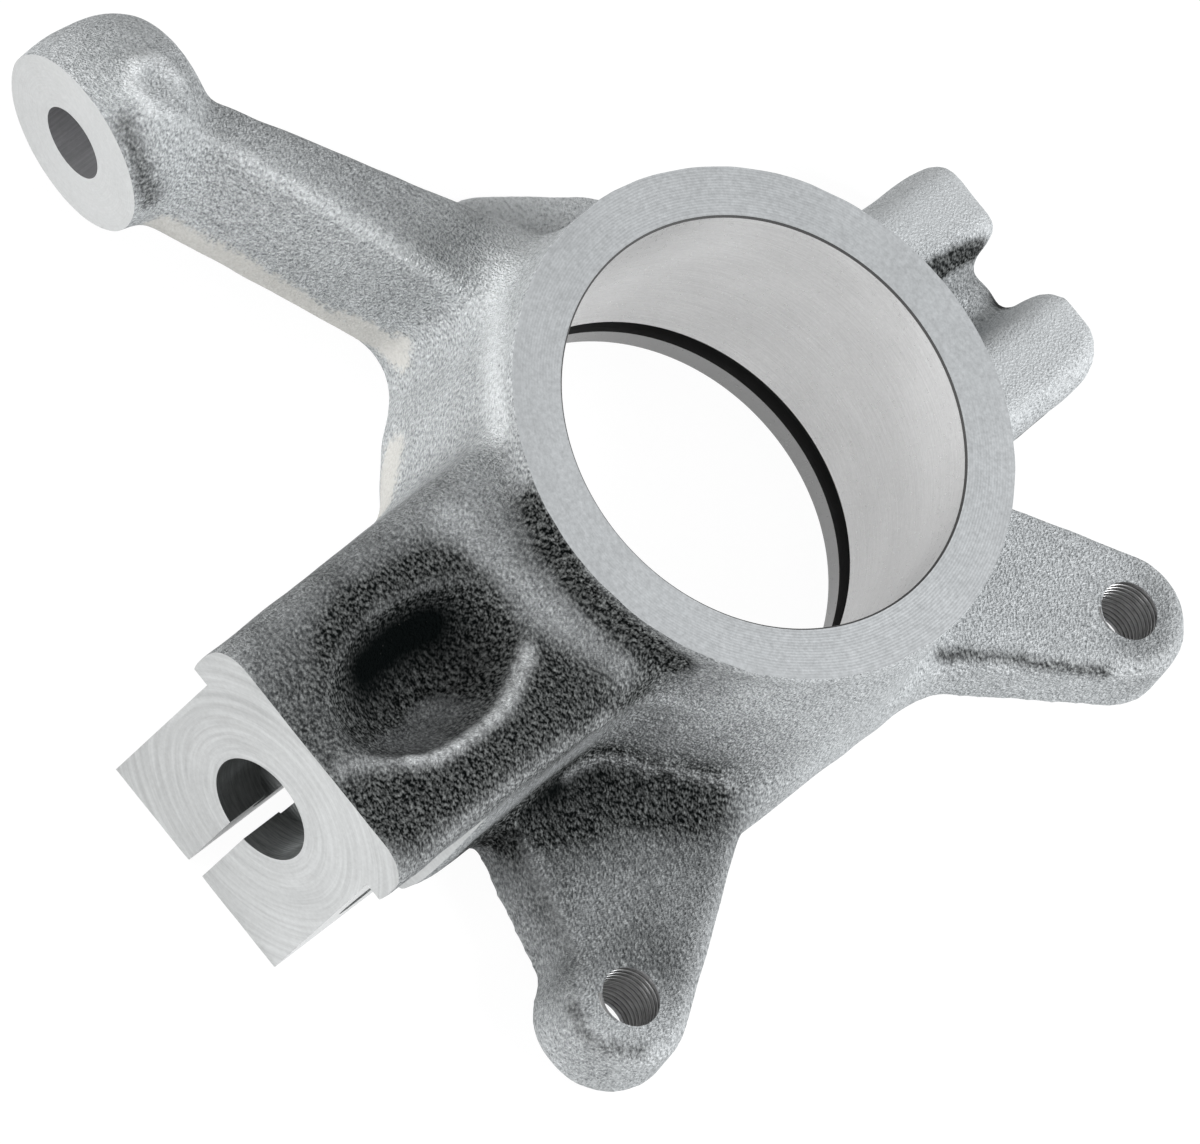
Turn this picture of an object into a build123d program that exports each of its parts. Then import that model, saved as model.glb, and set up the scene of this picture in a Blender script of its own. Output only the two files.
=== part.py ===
from build123d import *
import math
import os

# Steering knuckle of a front wheel: one iron casting, machined where other parts fasten to it.
# Frame: origin on the wheel axis, in the plane of the inboard faces. +Z points outboard along the
# wheel axis, +Y is up on the vehicle and +X runs along it. Lengths are millimetres, angles degrees.

# Bearing ring
ring_depth = 52.8
bore_radius = 36.0
ring_face_radius = 44.4
lip_width = 4.2
circlip_width = 4.2
circlip_radius = 38.4
bore_chamfer = 0.8

# Casting as a whole
casting_back = 1.6
parting_height = 8.0
casting_draft = 5.0
back_draft = 12.0
ring_back_draft = 24.0
cast_edge_round = 2.5
weld_overlap = 2.0
wall_inset = 0.3
arm_wall_inset = 2.0

# Lower arm and ball-joint clamp
clamp_x = -0.8
clamp_face_y = -105.5
clamp_stock = 8.0
clamp_width = 41.0
clamp_flat_depth = 36.5
clamp_flat_rise = 28.0
clamp_flat_corner = 3.0
stud_radius = 9.5
stud_height = 25.9
stud_hole_depth = 33.0
slit_width = 3.4
slit_length = 35.0
pinch_radius = 5.1
pinch_height = 14.0
pinch_rise = 13.0
arm_front = ring_depth - 5.0
arm_front_width = 47.5
arm_lean_x = -1.6
arm_edge_round = 5.5
arm_draft = 2.5

# Thumb-shaped hollow in the front of the lower arm
hollow_x = -1.0
hollow_y = -78.0
hollow_half_width = 12.5
hollow_half_length = 21.0
hollow_lift = 3.0

# Caliper ears and the edge web that joins them
ear_x = 59.2
lower_ear_y = -64.8
upper_ear_y = 59.4
ear_radius = 12.2
ear_front = 14.5
ear_pad_radius = 11.0
ear_thread_radius = 6.0
ear_drill_radius = 5.35
ear_drill_chamfer = 1.0
ear_web_x = 49.0
ear_web_y = 25.0
lower_ear_root_x = 24.0
lower_ear_root_y = -62.5
lower_ear_neck = 7.4
upper_ear_root_x = 31.0
upper_ear_root_y = 54.5

# Steering arm and tie-rod boss
boss_x = -105.4
boss_face_y = -51.5
boss_height = 23.4
boss_face_radius = 16.3
boss_body_radius = 17.1
boss_waist = 7.5
boss_shoulder_radius = 16.1
boss_shoulder = 14.0
boss_length = 20.5
boss_end_radius = 11.5
boss_hole_radius = 6.6
nut_seat_radius = 10.0
nut_seat_room = 9.0
boss_lean_x = 6.1
boss_lean_z = 10.1
steer_root_x = -40.0
steer_root_y = -4.5
steer_tip_gap = 4.0
steer_front = ring_depth - 15.3
steer_edge_round = 4.0

# Steering arm's section at its root and at the boss: half-widths of its front, of its widest line
# and of its back on the near side (-Y) and the far side, and the heights of that line and the back
steer_near_front = (10.6, 4.6)
steer_far_front = (8.6, 2.4)
steer_near_wall = (8.6, 15.0)
steer_far_wall = (9.4, 8.0)
steer_near_back = (5.6, 6.0)
steer_far_back = (6.4, 5.0)
steer_parting = (6.0, 22.5)
steer_back = (3.0, 9.5)

# Stub that fills the corners between the ring and the steering arm
stub_start = 12.0
stub_end = 28.0
stub_width = 14.8
stub_back = 6.0

# Strut tongue with two flanges and the rear web beside it
tongue_x = 2.5
tongue_width = 45.0
tongue_start_y = 22.0
tongue_front = 20.0
tongue_corner = 8.0
lobe_inner_corner = 5.0
valley_x = 2.8
valley_width = 10.5
valley_floor = 10.5
valley_set_back = 6.0
lobe_round = 5.0
valley_round = 2.0
strut_hole_radius = 5.1
strut_hole_height = 7.5
strut_hole_y = 52.0
strut_hole_pitch = 22.0
strut_end_margin = 12.0
tongue_end_y = strut_hole_y + strut_hole_pitch + strut_end_margin
rear_web_front = 10.0
rear_web_x = -62.0
rear_web_y = 12.0
rear_web_shoulder_x = -50.0
rear_web_shoulder_y = 31.0
rear_web_tip_y = 60.0
rear_web_drop = 16.0

# Fillets of the outline, seen along the wheel axis
arm_corner_round = 13.0
steer_corner_round = 12.0
ear_root_round = 14.0
ear_shoulder_round = 4.0
web_corner_round = 8.0

# Blends from the ring wall to the faces that lie lower
ear_blend = 5.0
arm_blend = 4.5
steer_blend = 10.0
sweep_fade = 40.0


def wall_radius(height):
    """Outer radius of the drafted ring wall at a height above the inboard plane."""
    return ring_face_radius + (ring_depth - height) * math.tan(math.radians(casting_draft))


def outline(points, radius):
    """Closed outline with every corner rounded."""
    return make_face(FilletPolyline(*points, radius=radius, close=True))


def prism(sketch, back, front, draft=casting_draft):
    """Cast wall on an outline, wide at the back and drawn in towards the front."""
    return extrude(Pos(0, 0, back) * sketch, amount=front - back, taper=draft)


def ring_blank():
    """Drafted ring before boring, widest at the parting line."""
    widest = wall_radius(parting_height)
    profile = Polyline(
        (0, 0),
        (widest - parting_height * math.tan(math.radians(ring_back_draft)), 0),
        (widest, parting_height),
        (ring_face_radius, ring_depth),
        (0, ring_depth),
        close=True,
    )
    return revolve(Plane.XZ * make_face(profile), axis=Axis.Z)


def ring_sweep(shape, front, blend, inset, fade):
    """Concave round that carries the ring wall out onto a front face, faded at the face's edges."""
    top = front + blend
    foot = wall_radius(front) + blend
    profile = make_face(
        [
            Line((0, front - weld_overlap), (foot, front - weld_overlap)),
            Line((foot, front - weld_overlap), (foot, front)),
            RadiusArc((foot, front), (wall_radius(top), top), blend),
            Line((wall_radius(top), top), (0, top)),
            Line((0, top), (0, front - weld_overlap)),
        ]
    )
    sweep = revolve(Plane.XZ * profile, axis=Axis.Z)
    return sweep & prism(offset(shape, -inset), front - weld_overlap, top, fade)


def ear_outline(y, root_x, root_y, neck_radius):
    """Outline of one caliper ear, from its hole back to the ring on both sides."""
    tip = Pos(ear_x, y) * Circle(ear_radius)
    neck = Pos(ear_x, y) * Circle(neck_radius)
    web_side = Line((0, 0), (ear_web_x, math.copysign(ear_web_y, y)))
    root_side = Line((0, 0), (root_x, root_y))
    return make_hull([web_side, *tip.edges()]) + make_hull([root_side, *neck.edges()])


def web_outline():
    """Outline of the flat web behind the ring, with both ears and the rear web."""
    lower_ear = ear_outline(lower_ear_y, lower_ear_root_x, lower_ear_root_y, lower_ear_neck)
    upper_ear = ear_outline(upper_ear_y, upper_ear_root_x, upper_ear_root_y, ear_radius)
    edge_strip = Pos(ear_web_x / 2, 0) * Rectangle(ear_web_x, 2 * ear_web_y)
    web = Circle(ring_face_radius) + edge_strip + lower_ear + upper_ear
    for side in (-1, 1):
        corner = web.vertices().sort_by_distance((ear_web_x, side * ear_web_y))[0]
        web = fillet(corner, ear_root_round)
    shoulder = web.vertices().sort_by_distance((ear_x - ear_radius, lower_ear_y - lower_ear_neck))[0]
    return fillet(shoulder, ear_shoulder_round)


def boss_plane():
    """Plane of the machined tie-rod face, with its normal along the hole into the boss."""
    along = Vector(math.tan(math.radians(boss_lean_x)), 1, math.tan(math.radians(boss_lean_z)))
    return Plane(origin=(boss_x, boss_face_y, boss_height), z_dir=along)


def tie_rod_boss():
    """Barrel-shaped boss, turned about the tie-rod hole."""
    barrel = ThreePointArc(
        (boss_face_radius, 0), (boss_body_radius, boss_waist), (boss_shoulder_radius, boss_shoulder)
    )
    profile = make_face(
        [
            Line((0, 0), (boss_face_radius, 0)),
            barrel,
            TangentArc(barrel @ 1, (boss_end_radius, boss_length), tangent=barrel % 1),
            Line((boss_end_radius, boss_length), (0, boss_length)),
            Line((0, boss_length), (0, 0)),
        ]
    )
    return boss_plane() * revolve(Plane.XZ * profile, axis=Axis.Z)


def strut_tongue():
    """Tongue for the strut: two rounded flanges with a valley between them, open at its end."""
    half = tongue_width / 2
    left, right = tongue_x - half, tongue_x + half
    valley_left, valley_right = valley_x - valley_width / 2, valley_x + valley_width / 2
    section_rounds = [lobe_round, lobe_round, valley_round]
    section = FilletPolyline(
        (left, 0),
        (right, 0),
        (right, tongue_front),
        (valley_right, tongue_front),
        (valley_right, valley_floor),
        (valley_left, valley_floor),
        (valley_left, tongue_front),
        (left, tongue_front),
        radius=[0, 0, *section_rounds, *reversed(section_rounds)],
        close=True,
    )
    plan_rounds = [tongue_corner, lobe_inner_corner, valley_round]
    plan = FilletPolyline(
        (left, tongue_start_y),
        (right, tongue_start_y),
        (right, tongue_end_y),
        (valley_right, tongue_end_y),
        (valley_right, tongue_end_y - valley_set_back),
        (valley_left, tongue_end_y - valley_set_back),
        (valley_left, tongue_end_y),
        (left, tongue_end_y),
        radius=[0, 0, *plan_rounds, *reversed(plan_rounds)],
        close=True,
    )
    side = FilletPolyline(
        (0, 0),
        (tongue_end_y, 0),
        (tongue_end_y, tongue_front),
        (0, tongue_front),
        radius=[0, 0, lobe_round, 0],
        close=True,
    )
    along_y = Plane(origin=(0, 0, 0), x_dir=(1, 0, 0), z_dir=(0, -1, 0))
    along_x = Plane(origin=(left, 0, 0), x_dir=(0, 1, 0), z_dir=(1, 0, 0))
    body = extrude(along_y * make_face(section), amount=-tongue_end_y)
    body &= extrude(make_face(plan), amount=tongue_front)
    return body & extrude(along_x * make_face(side), amount=tongue_width)


def rear_web():
    """Thin web that closes the corner between the steering arm and the strut tongue."""
    corner = outline(
        [
            (0, 0),
            (tongue_x, rear_web_tip_y),
            (tongue_x - tongue_width / 2, rear_web_tip_y),
            (rear_web_shoulder_x, rear_web_shoulder_y),
            (rear_web_x, rear_web_y),
            (rear_web_x, rear_web_y - rear_web_drop),
            (steer_root_x, steer_root_y),
        ],
        radius=[0, 0, 0, web_corner_round, web_corner_round, 0, 0],
    )
    return prism(corner, casting_back, rear_web_front)


def steer_frame():
    """Middle line of the steering arm: where it leaves the ring, its boss end and its two directions."""
    middle = boss_plane().from_local_coords((0, 0, boss_length / 2))
    root = Vector(steer_root_x, steer_root_y, 0)
    boss = Vector(middle.X, middle.Y, 0)
    ahead = (boss - root).normalized()
    return root, boss - ahead * steer_tip_gap, ahead, Vector(0, 0, 1).cross(ahead)


def steer_section(end, centre, across):
    """Six-sided section of the steering arm at its root (end 0) or at the boss (end 1)."""
    corners = [
        (steer_near_wall[end], steer_parting[end]),
        (steer_near_front[end], steer_front),
        (-steer_far_front[end], steer_front),
        (-steer_far_wall[end], steer_parting[end]),
        (-steer_far_back[end], steer_back[end]),
        (steer_near_back[end], steer_back[end]),
    ]
    points = [centre + across * offset + Vector(0, 0, height) for offset, height in corners]
    return make_face(Polyline(*points, close=True))


def steering_arm():
    """Steering arm whose widest line climbs from the ring's foot to the middle of the boss."""
    root, tip, _, across = steer_frame()
    arm = loft([steer_section(0, root, across), steer_section(1, tip, across)], ruled=True)
    front = arm.edges().group_by(Axis.Z)[-1]
    return fillet(front.sort_by(SortBy.LENGTH)[-2:], steer_edge_round)


def stub_outline():
    """Root of the steering arm at the parting line, with concave corners where it leaves the ring."""
    root, _, ahead, across = steer_frame()
    half = stub_width / 2
    start, end = root - ahead * stub_start, root + ahead * stub_end
    stub = make_face(
        Polyline(
            start + across * half, end + across * half, end - across * half, start - across * half, close=True
        )
    )
    shape = Circle(wall_radius(parting_height) - wall_inset) + stub
    corners = [shape.vertices().sort_by_distance(root + across * side * half)[0] for side in (-1, 1)]
    return fillet(corners, steer_corner_round)


def arm_outline():
    """Lower arm at the parting line, with concave corners where it leaves the ring."""
    half = arm_front_width / 2 + (arm_front - parting_height) * math.tan(math.radians(arm_draft))
    ring = wall_radius(parting_height) - arm_wall_inset
    root_x = clamp_x + arm_lean_x
    arm = make_face(
        Polyline(
            (root_x - half, 0),
            (clamp_x - half, clamp_face_y - clamp_stock),
            (clamp_x + half, clamp_face_y - clamp_stock),
            (root_x + half, 0),
            close=True,
        )
    )
    shape = Circle(ring) + arm
    corners = [
        shape.vertices().sort_by_distance((root_x + side * half, -math.sqrt(ring**2 - half**2)))[0]
        for side in (-1, 1)
    ]
    return fillet(corners, arm_corner_round)


def cast_arm(shape, back, front, blend, draft, edge_round):
    """Arm with drafted walls both ways from the parting line, swept up into the ring wall."""
    upper = prism(shape, parting_height, front, draft)
    upper = fillet(upper.edges().group_by(Axis.Z)[-1], edge_round)
    lower = extrude(Pos(0, 0, parting_height) * shape, amount=back - parting_height, taper=back_draft)
    return upper + lower + ring_sweep(shape, front, blend, edge_round, sweep_fade)


def cast_web():
    """Flat web with both ears, rounded at its front edge and swept up into the ring wall."""
    shape = web_outline()
    web = prism(shape, casting_back, ear_front)
    web = fillet(web.edges().group_by(Axis.Z)[-1], cast_edge_round)
    return web + ring_sweep(shape, ear_front, ear_blend, cast_edge_round, casting_draft)


def casting():
    """Whole casting before it is machined."""
    body = ring_blank() + cast_web()
    body += cast_arm(stub_outline(), stub_back, steer_front, steer_blend, casting_draft, steer_edge_round)
    body += steering_arm()
    body += cast_arm(arm_outline(), 0, arm_front, arm_blend, arm_draft, arm_edge_round)
    body += rear_web()
    body += strut_tongue()
    body += tie_rod_boss()
    return body


def bore_cutter():
    """Bearing bore with its mouth chamfer and the circlip groove."""
    groove_front = lip_width + circlip_width
    profile = Polyline(
        (0, -weld_overlap),
        (bore_radius, -weld_overlap),
        (bore_radius, lip_width),
        (circlip_radius, lip_width),
        (circlip_radius, groove_front),
        (bore_radius, groove_front),
        (bore_radius, ring_depth - bore_chamfer),
        (bore_radius + bore_chamfer, ring_depth),
        (bore_radius + bore_chamfer, ring_depth + weld_overlap),
        (0, ring_depth + weld_overlap),
        close=True,
    )
    return revolve(Plane.XZ * make_face(profile), axis=Axis.Z)


def drill(origin, direction, radius, depth):
    """Round hole from a point along a direction, started a little before the surface."""
    plane = Plane(origin=origin, z_dir=direction)
    length = depth + weld_overlap
    hole = Cylinder(radius, length, align=(Align.CENTER, Align.CENTER, Align.MIN))
    return plane * Pos(0, 0, -weld_overlap) * hole


def clamp_cutters():
    """Stud hole, slit, pinch-bolt hole and the milled flats beside the clamp."""
    hole = drill((clamp_x, clamp_face_y, stud_height), (0, 1, 0), stud_radius, stud_hole_depth)
    slit = Pos(clamp_x, clamp_face_y, 0) * Box(slit_width, 2 * slit_length, 2 * stud_height)
    pinch_start = (clamp_x - clamp_width / 2, clamp_face_y + pinch_rise, pinch_height)
    pinch = drill(pinch_start, (1, 0, 0), pinch_radius, clamp_width + weld_overlap)
    stock = Pos(clamp_x, clamp_face_y, 0) * Box(
        2 * arm_front_width, 2 * clamp_stock, 2 * ring_depth, align=(Align.CENTER, Align.MAX, Align.CENTER)
    )
    cutters = [stock, hole, slit, pinch]
    for side in (-1, 1):
        edge = clamp_x + side * clamp_width / 2
        flat = Pos(edge + side * clamp_width / 2, clamp_face_y, 0) * Box(
            clamp_width, 2 * clamp_flat_rise, 2 * clamp_flat_depth
        )
        cutters.append(fillet(flat.edges().filter_by(Axis.X).sort_by(Axis.Y)[-2:], clamp_flat_corner))
    return cutters


def hollow_cutter():
    """Thumb-shaped hollow, an ellipse turned about its long axis."""
    oval = Ellipse(hollow_half_width, hollow_half_length)
    half = oval & Pos(hollow_half_width, 0) * Rectangle(2 * hollow_half_width, 2 * hollow_half_length)
    return Pos(hollow_x, hollow_y, arm_front + hollow_lift) * revolve(half, axis=Axis.Y)


def ear_cutters():
    """Tapping holes of the caliper ears, countersunk at both ends."""
    cutters = []
    for y in (lower_ear_y, upper_ear_y):
        profile = Polyline(
            (0, -ear_drill_chamfer),
            (ear_thread_radius + ear_drill_chamfer, -ear_drill_chamfer),
            (ear_thread_radius, 0),
            (ear_drill_radius, ear_thread_radius - ear_drill_radius),
            (ear_drill_radius, ear_front - ear_thread_radius + ear_drill_radius),
            (ear_thread_radius, ear_front),
            (ear_thread_radius + ear_drill_chamfer, ear_front + ear_drill_chamfer),
            (0, ear_front + ear_drill_chamfer),
            close=True,
        )
        cutters.append(Pos(ear_x, y) * revolve(Plane.XZ * make_face(profile), axis=Axis.Z))
    return cutters


def strut_cutters():
    """Two bolt holes across the strut tongue."""
    start = tongue_x - tongue_width / 2
    return [
        drill((start, y, strut_hole_height), (1, 0, 0), strut_hole_radius, tongue_width + weld_overlap)
        for y in (strut_hole_y, strut_hole_y + strut_hole_pitch)
    ]


def tie_rod_cutters():
    """Tie-rod hole, the stock in front of the machined face and the nut's seat behind the boss."""
    plane = boss_plane()
    hole = drill(plane.origin, plane.z_dir, boss_hole_radius, boss_length + weld_overlap)
    stock = plane * Cylinder(
        2 * boss_face_radius, boss_length, align=(Align.CENTER, Align.CENTER, Align.MAX)
    )
    seat = plane * Pos(0, 0, boss_length) * Cylinder(
        nut_seat_radius, nut_seat_room, align=(Align.CENTER, Align.CENTER, Align.MIN)
    )
    return [hole, stock, seat]


def ear_pads():
    """Machined pads on the inboard side of the ears."""
    pads = [
        Pos(ear_x, y) * Cylinder(
            ear_pad_radius, ear_front / 2, align=(Align.CENTER, Align.CENTER, Align.MIN)
        )
        for y in (lower_ear_y, upper_ear_y)
    ]
    return pads


def steering_knuckle():
    """Casting with every machined face, hole and groove."""
    body = casting() + ear_pads()
    for cutter in [
        bore_cutter(),
        hollow_cutter(),
        *clamp_cutters(),
        *ear_cutters(),
        *strut_cutters(),
        *tie_rod_cutters(),
    ]:
        body -= cutter
    return body


knuckle = steering_knuckle()
print("volume", knuckle.volume, "solids", len(knuckle.solids()))
os.makedirs("parts", exist_ok=True)
export_step(knuckle, "parts/steering_knuckle.step")
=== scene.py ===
"""Steering knuckle: a shot-blasted iron casting with machined faces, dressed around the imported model.

The casting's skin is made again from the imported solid: machining stock is put on, the whole is
remeshed, its corners are run out into fillets, and then the holes and faces are cut clean.
"""

from __future__ import annotations

import logging
import math
from dataclasses import dataclass
from enum import Enum
from typing import Any, Union

import bmesh
import bpy
import numpy as np
from mathutils import Matrix, Vector
from mathutils.kdtree import KDTree

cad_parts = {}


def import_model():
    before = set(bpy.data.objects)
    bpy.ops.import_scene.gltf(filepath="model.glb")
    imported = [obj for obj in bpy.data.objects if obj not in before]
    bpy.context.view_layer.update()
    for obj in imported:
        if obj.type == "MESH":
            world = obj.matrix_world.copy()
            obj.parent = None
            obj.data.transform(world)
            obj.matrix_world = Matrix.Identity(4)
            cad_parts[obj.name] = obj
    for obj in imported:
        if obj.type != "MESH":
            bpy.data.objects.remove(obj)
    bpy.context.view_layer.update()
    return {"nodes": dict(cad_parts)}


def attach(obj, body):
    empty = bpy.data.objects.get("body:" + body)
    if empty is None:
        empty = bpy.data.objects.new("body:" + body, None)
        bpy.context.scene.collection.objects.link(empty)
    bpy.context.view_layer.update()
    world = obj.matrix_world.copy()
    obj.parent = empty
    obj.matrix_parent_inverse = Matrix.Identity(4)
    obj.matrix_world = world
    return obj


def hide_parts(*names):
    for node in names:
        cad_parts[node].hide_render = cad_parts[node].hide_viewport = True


LOG = logging.getLogger("steering_knuckle")
NODE = "steering_knuckle"
MM = 0.001
TOLERANCE = 0.01 * MM
SHARP_BEND = math.radians(28)
SEAM_BEND = 0.1
AXIS_X, AXIS_Y, AXIS_Z = (1, 0, 0), (0, 1, 0), (0, 0, 1)
INWARD = (0, 0, -1)

Point = tuple[float, float, float]
Number = Union[float, "Signal"]


class Zone(Enum):
    """Surfaces of the knuckle that have a finish of their own."""

    CAST = "cast_skin"
    TURNED = "turned_ring_face"
    HONED = "honed_bore"
    # Near-black finish: painted shade in the circlip groove and on the bore's mouth chamfer.
    GROOVE_SHADE = "circlip_groove"
    MILLED = "milled_clamp_face"
    FLAT = "milled_flat"
    FACED = "spot_faced_boss"
    DRILLED = "drilled_hole"
    STUD = "reamed_stud_hole"


ZONES = list(Zone)
# Measures on the skin's points. The darkening one carries dark oxide skin and painted shade; the rubbing
# one carries rubbed edges and painted highlights.
MEASURES = ("cavity", "scale", "bare", "rub_and_highlight")


class Signal:
    """One output socket of a shader tree, with arithmetic that adds Math nodes."""

    def __init__(self, shader: "Shader", socket: bpy.types.NodeSocket) -> None:
        """Wraps a socket.

        Args:
            shader: The tree that the socket is in.
            socket: The output socket.
        """
        self.shader = shader
        self.socket = socket

    def _math(self, operation: str, *values: Number) -> "Signal":
        """Adds one Math node and returns its value."""
        return self.shader.add("ShaderNodeMath", {"operation": operation}, *values)

    def __add__(self, other: Number) -> "Signal":
        """Sum."""
        return self._math("ADD", self, other)

    def __radd__(self, other: Number) -> "Signal":
        """Sum with the number first."""
        return self._math("ADD", other, self)

    def __sub__(self, other: Number) -> "Signal":
        """Difference."""
        return self._math("SUBTRACT", self, other)

    def __rsub__(self, other: Number) -> "Signal":
        """Difference with the number first."""
        return self._math("SUBTRACT", other, self)

    def __mul__(self, other: Number) -> "Signal":
        """Product."""
        return self._math("MULTIPLY", self, other)

    def __pow__(self, other: Number) -> "Signal":
        """Power."""
        return self._math("POWER", self, other)

    def swing(self, strength: Number) -> "Signal":
        """Distance of the value from a half, made stronger."""
        return (self - 0.5) * strength

    def sin(self) -> "Signal":
        """Sine of the value, in radians."""
        return self._math("SINE", self)

    def root(self) -> "Signal":
        """Square root."""
        return self._math("SQRT", self)

    def clamp(self) -> "Signal":
        """Value held between 0 and 1."""
        return self.shader.add("ShaderNodeClamp", {}, self)

    def step(self, low: float, high: float) -> "Signal":
        """Smooth rise from 0 to 1.

        Args:
            low: Value at which the rise starts.
            high: Value at which it ends. Below low, the rise is a fall.

        Returns:
            The smooth step.
        """
        return self.shader.add(
            "ShaderNodeMapRange", {"interpolation_type": "SMOOTHSTEP"}, self, low, high, 0.0, 1.0
        )


class Shader:
    """Builder of one node material."""

    def __init__(self, name: str) -> None:
        """Starts an empty material.

        Args:
            name: Name of the material.
        """
        self.material = bpy.data.materials.new(name)
        self.material.use_nodes = True
        self.tree = self.material.node_tree
        self.tree.nodes.clear()
        self.coordinate = self.add("ShaderNodeTexCoord", {}, output="Object")

    def add(
        self, kind: str, settings: dict[str, Any], *values: Any, output: Any = 0, **named: Any
    ) -> Signal:
        """Adds one node.

        Args:
            kind: Type of the node.
            settings: Properties of the node, set before its inputs.
            *values: Values or signals for the inputs in order. None leaves an input alone.
            output: Name or number of the output that is returned.
            **named: Values or signals for inputs by name, with underscores for spaces.

        Returns:
            The output as a signal.
        """
        node = self.tree.nodes.new(kind)
        for key, value in settings.items():
            setattr(node, key, value)
        enabled = [socket for socket in node.inputs if socket.enabled]
        pairs = list(zip(enabled, values))
        pairs += [(node.inputs[key.replace("_", " ")], value) for key, value in named.items()]
        for socket, value in pairs:
            if isinstance(value, Signal):
                self.tree.links.new(value.socket, socket)
            elif value is not None:
                socket.default_value = value
        outputs = [socket for socket in node.outputs if socket.enabled]
        socket = outputs[output] if isinstance(output, int) else node.outputs[output]
        return Signal(self, socket)

    def noise(
        self, size: float, detail: float = 2.0, rough: float = 0.5, place: Signal | None = None
    ) -> Signal:
        """Noise of a given grain.

        Args:
            size: Length of one grain in metres.
            detail: Number of finer layers.
            rough: Strength of the finer layers.
            place: Coordinate to use in place of the object's.

        Returns:
            The noise, around a half.
        """
        vector = place or self.coordinate
        return self.add("ShaderNodeTexNoise", {}, vector, Scale=1 / size, Detail=detail, Roughness=rough)

    def axes(self) -> tuple[Signal, Signal, Signal]:
        """The object coordinate's three values, in metres."""
        split = self.add("ShaderNodeSeparateXYZ", {}, self.coordinate)
        node = split.socket.node
        return tuple(Signal(self, node.outputs[axis]) for axis in "XYZ")

    def shifted(self, way: Point) -> Signal:
        """Object coordinate moved by a distance in metres."""
        return self.add("ShaderNodeVectorMath", {"operation": "ADD"}, self.coordinate, way)

    def around(self, centre: Point, along: int) -> tuple[Signal, Signal, Signal]:
        """Object coordinate turned about an axis.

        Args:
            centre: Point on the axis in metres.
            along: Axis: 0 for X, 1 for Y, 2 for Z.

        Returns:
            Angle in radians, distance from the axis and place along it in metres.
        """
        local = [value - start for value, start in zip(self.axes(), centre)]
        height = local.pop(along)
        angle = self.add("ShaderNodeMath", {"operation": "ARCTAN2"}, local[0], local[1])
        return angle, (local[0] * local[0] + local[1] * local[1]).root(), height

    def streaks(self, first: Signal, second: Signal, lengths: tuple[float, float]) -> Signal:
        """Noise drawn out along one of two coordinates.

        Args:
            first: First coordinate.
            second: Second coordinate.
            lengths: Length of the streaks along each.

        Returns:
            The noise, around a half.
        """
        across, along = (way * (1 / length) for way, length in zip((first, second), lengths))
        place = self.add("ShaderNodeCombineXYZ", {}, across, along, 0.0)
        return self.add("ShaderNodeTexNoise", {}, place, Scale=1.0, Detail=3.0, Roughness=0.65)

    def attribute(self, name: str) -> Signal:
        """Value that the mesh carries on its points."""
        return self.add("ShaderNodeAttribute", {"attribute_name": name}, output="Fac")

    def mix(self, factor: Number, first: Any, second: Any) -> Signal:
        """Colour between two colours."""
        node = self.tree.nodes.new("ShaderNodeMix")
        node.data_type = "RGBA"
        for index, value in ((0, factor), (6, first), (7, second)):
            socket = node.inputs[index]
            if isinstance(value, Signal):
                self.tree.links.new(value.socket, socket)
            else:
                socket.default_value = (*value, 1.0) if isinstance(value, tuple) else value
        return Signal(self, node.outputs[2])

    def bump(self, height: Signal, strength: float) -> Signal:
        """Normal tilted by a height in metres."""
        return self.add("ShaderNodeBump", {}, Height=height, Strength=strength, Distance=1.0)

    def finish(
        self, colour: Any, roughness: Any, metallic: float, normal: Signal | None, specular: float = 0.5
    ) -> bpy.types.Material:
        """Closes the material with one Principled shader.

        Args:
            colour: Base colour as a signal or three numbers.
            roughness: Roughness as a signal or a number.
            metallic: Share of metal.
            normal: Normal from a Bump node.
            specular: Strength of the reflection that isn't the metal's.

        Returns:
            The finished material.
        """
        if not isinstance(colour, Signal):
            colour = (*colour, 1.0)
        values = {
            "Base_Color": colour,
            "Roughness": roughness,
            "Metallic": metallic,
            "Specular_IOR_Level": specular,
        }
        if normal is not None:
            values["Normal"] = normal
        self.close(self.add("ShaderNodeBsdfPrincipled", {}, **values))
        return self.material

    def close(self, surface: Signal) -> None:
        """Links a shader to the material's output."""
        node = self.tree.nodes.new("ShaderNodeOutputMaterial")
        self.tree.links.new(surface.socket, node.inputs["Surface"])


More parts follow.
